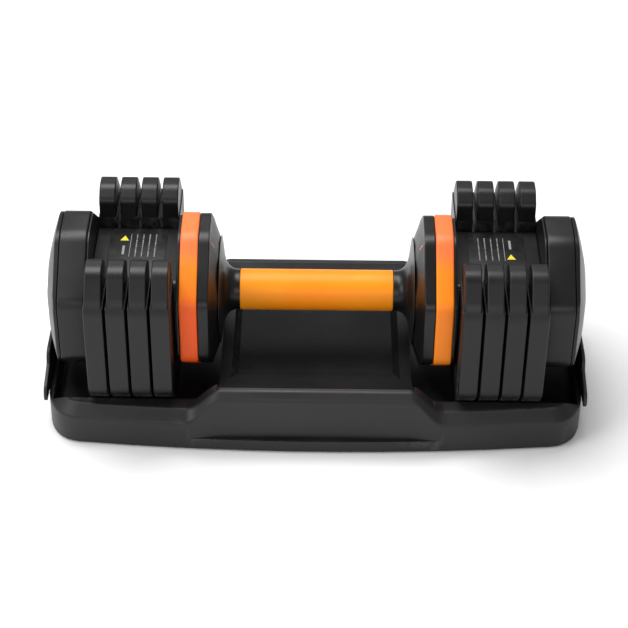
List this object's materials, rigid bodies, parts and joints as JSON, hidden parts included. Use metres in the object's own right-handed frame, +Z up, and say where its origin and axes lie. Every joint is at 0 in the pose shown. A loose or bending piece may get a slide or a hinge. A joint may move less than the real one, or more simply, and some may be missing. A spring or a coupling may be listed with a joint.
{
  "type": "adjustable dumbbell",
  "caption": "Dumbbell whose weight is set by turning its grip, lying in a storage tray with U-shaped plates hung on each head.",
  "frame": {"origin": "on the table under the middle of the grip", "axes": "+X along the grip, +Y to the back of the tray, +Z up"},
  "size_m": [0.458, 0.213, 0.16],
  "materials": {
    "grip_orange": "satin orange anodised sleeve",
    "orange_plastic": "satin moulded orange plastic",
    "black_plastic": "fine-grained black moulded plastic",
    "black_coating": "satin black coating over iron",
    "steel": "turned steel",
    "rubber": "black rubber",
    "label_film": null
  },
  "bodies": {
    "tray": {"tray_shell": "black_plastic", "tray_foot_1": "rubber", "tray_foot_2": "rubber", "tray_foot_3": "rubber", "tray_foot_4": "rubber", "end_plate_left": "black_plastic", "end_plate_right": "black_plastic"},
    "plates_4": {"plate_left_4": "black_coating", "plate_right_4": "black_coating", "plate_hook_left_4": "steel", "plate_hook_right_4": "steel"},
    "plates_3": {"plate_left_3": "black_coating", "plate_right_3": "black_coating", "plate_hook_left_3": "steel", "plate_hook_right_3": "steel"},
    "plates_2": {"plate_left_2": "black_coating", "plate_right_2": "black_coating", "plate_hook_left_2": "steel", "plate_hook_right_2": "steel"},
    "plates_1": {"plate_left_1": "black_coating", "plate_right_1": "black_coating", "plate_hook_left_1": "steel", "plate_hook_right_1": "steel"},
    "core": {"handle_shaft": "steel", "flange_housing_left": "black_plastic", "flange_bush_left": "steel", "accent_ring_left": "orange_plastic", "back_plate_left": "black_coating", "bridge_housing_left": "black_plastic", "label_plate_left": "label_film", "inner_cap_plate_left": "black_coating", "end_weight_left": "black_coating", "shaft_nut_left": "steel", "end_cover_left": "black_plastic", "flange_housing_right": "black_plastic", "flange_bush_right": "steel", "accent_ring_right": "orange_plastic", "back_plate_right": "black_coating", "bridge_housing_right": "black_plastic", "label_plate_right": "label_film", "inner_cap_plate_right": "black_coating", "end_weight_right": "black_coating", "shaft_nut_right": "steel", "end_cover_right": "black_plastic"},
    "twist_handle": {"grip_sleeve": "grip_orange", "selector_tube": "steel", "dial_neck_left": "black_plastic", "dial_neck_right": "black_plastic", "selector_cam_left_1": "steel", "selector_cam_left_2": "steel", "selector_cam_left_3": "steel", "selector_cam_left_4": "steel", "selector_cam_right_1": "steel", "selector_cam_right_2": "steel", "selector_cam_right_3": "steel", "selector_cam_right_4": "steel"}
  },
  "joints": [
    {"name": "plates_4_lift", "type": "slide", "parent": "tray", "child": "plates_4", "axis": [0, 0, 1], "range_m": [0, 0.11]},
    {"name": "plates_3_lift", "type": "slide", "parent": "plates_4", "child": "plates_3", "axis": [0, 0, 1], "range_m": [0, 0.11]},
    {"name": "plates_2_lift", "type": "slide", "parent": "plates_3", "child": "plates_2", "axis": [0, 0, 1], "range_m": [0, 0.11]},
    {"name": "plates_1_lift", "type": "slide", "parent": "plates_2", "child": "plates_1", "axis": [0, 0, 1], "range_m": [0, 0.11]},
    {"name": "core_lift", "type": "slide", "parent": "plates_1", "child": "core", "axis": [0, 0, 1], "range_m": [0, 0.11]},
    {"name": "handle_twist", "type": "hinge", "parent": "core", "child": "twist_handle", "pos_m": [0, 0, 0.092], "axis": [1, 0, 0], "range_deg": [0, 160]}
  ]
}
